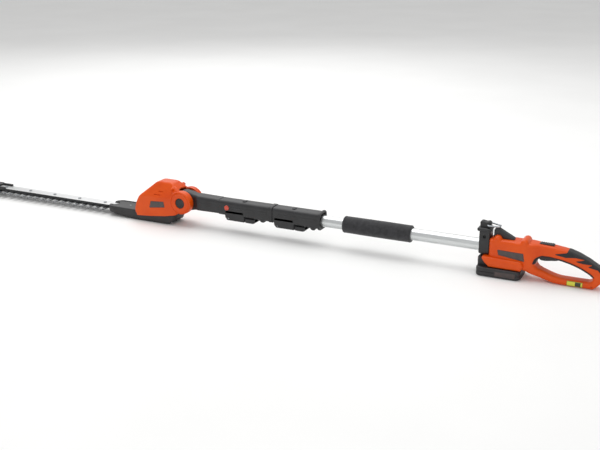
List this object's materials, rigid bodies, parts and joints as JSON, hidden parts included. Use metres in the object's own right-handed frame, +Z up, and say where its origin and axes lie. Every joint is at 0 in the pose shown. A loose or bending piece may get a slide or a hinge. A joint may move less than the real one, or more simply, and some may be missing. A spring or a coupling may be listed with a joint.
{
  "type": "pole hedge trimmer",
  "caption": "Cordless telescopic pole hedge trimmer: tilting toothed cutting head, clamped sliding tubes, foam grip, strap ring, and a loop handle with trigger over a slide-out battery.",
  "frame": {"origin": "middle of the length and width, on the surface that the skid, battery and handle stand on, with the pole pushed in and the head straight", "axes": "+X along the pole towards the rear handle, blade tip at -X; +Y to the right of a person holding it; +Z up"},
  "size_m": [1.836, 0.076, 0.129],
  "materials": {
    "orange_shell": "satin",
    "black_shell": "satin",
    "soft_grip": "matte",
    "foam": "matte",
    "badge": "satin",
    "label": "satin",
    "board": "satin",
    "tube": "satin",
    "lead": "matte",
    "zinc": "satin",
    "motor_can": "satin",
    "pinion_brass": "satin",
    "blade_steel": "ground",
    "bar_aluminium": "satin",
    "red_button": "gloss",
    "latch_red": "satin",
    "cell_wrap": "gloss"
  },
  "bodies": {
    "rear_pole": {"handle_left": "orange_shell", "handle_right": "orange_shell", "grip_overmould": "soft_grip", "handle_screws": "zinc", "handle_badges": "badge", "safety_label": "label", "switch_body": "black_shell", "control_board": "board", "battery_contacts": "black_shell", "trigger_pin": "zinc", "trigger_spring": "zinc", "lock_off_spring": "zinc", "pole_tube": "tube", "foam_grip": "foam", "coiled_lead": "lead", "strap_bracket": "black_shell", "bracket_screw": "zinc", "strap_rest": "black_shell"},
    "trigger": {"trigger": "black_shell"},
    "lock_off": {"lock_off_button": "black_shell"},
    "battery": {"battery_upper": "black_shell", "battery_lower": "black_shell", "battery_cells": "cell_wrap"},
    "battery_latch": {"battery_latch": "latch_red"},
    "strap_ring": {"strap_ring": "zinc"},
    "middle_pole": {"middle_tube": "tube", "rear_coupler": "black_shell", "rear_lever_pin": "zinc"},
    "rear_lever": {"rear_lever": "black_shell"},
    "front_pole": {"front_coupler": "black_shell", "front_lever_pin": "zinc", "neck_left": "black_shell", "neck_right": "black_shell", "neck_screws": "zinc"},
    "front_lever": {"front_lever": "black_shell"},
    "release_button": {"release_button": "red_button"},
    "head": {"head_left": "orange_shell", "head_right": "orange_shell", "head_screws": "zinc", "head_badges": "badge", "pivot_axle": "zinc", "pivot_washers": "zinc", "tilt_spring": "zinc", "gear_case": "black_shell", "skid_cover": "black_shell", "skid_screws": "zinc", "motor": "motor_can", "motor_plate": "zinc", "crank_axle": "zinc", "guide_bar": "bar_aluminium", "blade_bolts": "zinc", "blade_guides": "zinc", "tip_guard": "black_shell"},
    "tilt_button": {"tilt_button": "black_shell"},
    "crank": {"crank_gear": "zinc"},
    "rotor": {"motor_shaft": "zinc", "motor_pinion": "pinion_brass"},
    "upper_blade": {"upper_blade": "blade_steel", "upper_teeth": "blade_steel"},
    "lower_blade": {"lower_blade": "blade_steel", "lower_teeth": "blade_steel"}
  },
  "joints": [
    {"name": "rear_telescope", "type": "slide", "parent": "rear_pole", "child": "middle_pole", "axis": [-1, 0, 0], "range_m": [0, 0.25]},
    {"name": "front_telescope", "type": "slide", "parent": "middle_pole", "child": "front_pole", "axis": [-1, 0, 0], "range_m": [0, 0.16]},
    {"name": "rear_lever_fold", "type": "hinge", "parent": "middle_pole", "child": "rear_lever", "pos_m": [0.076, 0, 0.042], "axis": [0, 1, 0], "range_deg": [0, 75]},
    {"name": "front_lever_fold", "type": "hinge", "parent": "front_pole", "child": "front_lever", "pos_m": [-0.072, 0, 0.042], "axis": [0, 1, 0], "range_deg": [0, 75]},
    {"name": "release_press", "type": "slide", "parent": "front_pole", "child": "release_button", "axis": [0, 1, 0], "range_m": [0, 0.002], "stiffness_N_per_m": 800},
    {"name": "head_tilt", "type": "hinge", "parent": "front_pole", "child": "head", "pos_m": [-0.216, 0, 0.069], "axis": [0, 1, 0], "range_deg": [-75, 60]},
    {"name": "tilt_lock_press", "type": "slide", "parent": "head", "child": "tilt_button", "axis": [0, 1, 0], "range_m": [0, 0.004], "stiffness_N_per_m": 900},
    {"name": "crank_turn", "type": "hinge", "parent": "head", "child": "crank", "pos_m": [-0.303, 0, 0.037], "axis": [0, 0, 1], "range_deg": [-90, 90]},
    {"name": "upper_blade_stroke", "type": "slide", "parent": "head", "child": "upper_blade", "axis": [1, 0, 0], "range_m": [-0.007, 0.007]},
    {"name": "lower_blade_stroke", "type": "slide", "parent": "head", "child": "lower_blade", "axis": [1, 0, 0], "range_m": [-0.007, 0.007]},
    {"name": "motor_spin", "type": "hinge", "parent": "head", "child": "rotor", "pos_m": [-0.273, 0, 0.037], "axis": [0, 0, 1], "range_deg": [-361, 361]},
    {"name": "trigger_pull", "type": "hinge", "parent": "rear_pole", "child": "trigger", "pos_m": [0.811, 0, 0.068], "axis": [0, 1, 0], "range_deg": [0, 8], "stiffness_Nm_per_rad": 0.8, "springref_deg": -5.73},
    {"name": "lock_off_press", "type": "slide", "parent": "rear_pole", "child": "lock_off", "axis": [0, 0, -1], "range_m": [0, 0.003], "stiffness_N_per_m": 600, "deforming": ["lock_off_spring"]},
    {"name": "battery_slide", "type": "slide", "parent": "rear_pole", "child": "battery", "axis": [-1, 0, 0], "range_m": [0, 0.11]},
    {"name": "battery_latch_press", "type": "slide", "parent": "battery", "child": "battery_latch", "axis": [1, 0, 0], "range_m": [0, 0.0025], "stiffness_N_per_m": 900},
    {"name": "ring_swing", "type": "hinge", "parent": "rear_pole", "child": "strap_ring", "pos_m": [0.633, 0, 0.121], "axis": [0, 1, 0], "range_deg": [-110, 0]}
  ],
  "couplings": [
    {"joint": "upper_blade_stroke", "follows": "crank_turn", "m_per_rad": -0.00445},
    {"joint": "lower_blade_stroke", "follows": "crank_turn", "m_per_rad": 0.00445},
    {"joint": "motor_spin", "follows": "crank_turn", "ratio": -4}
  ]
}
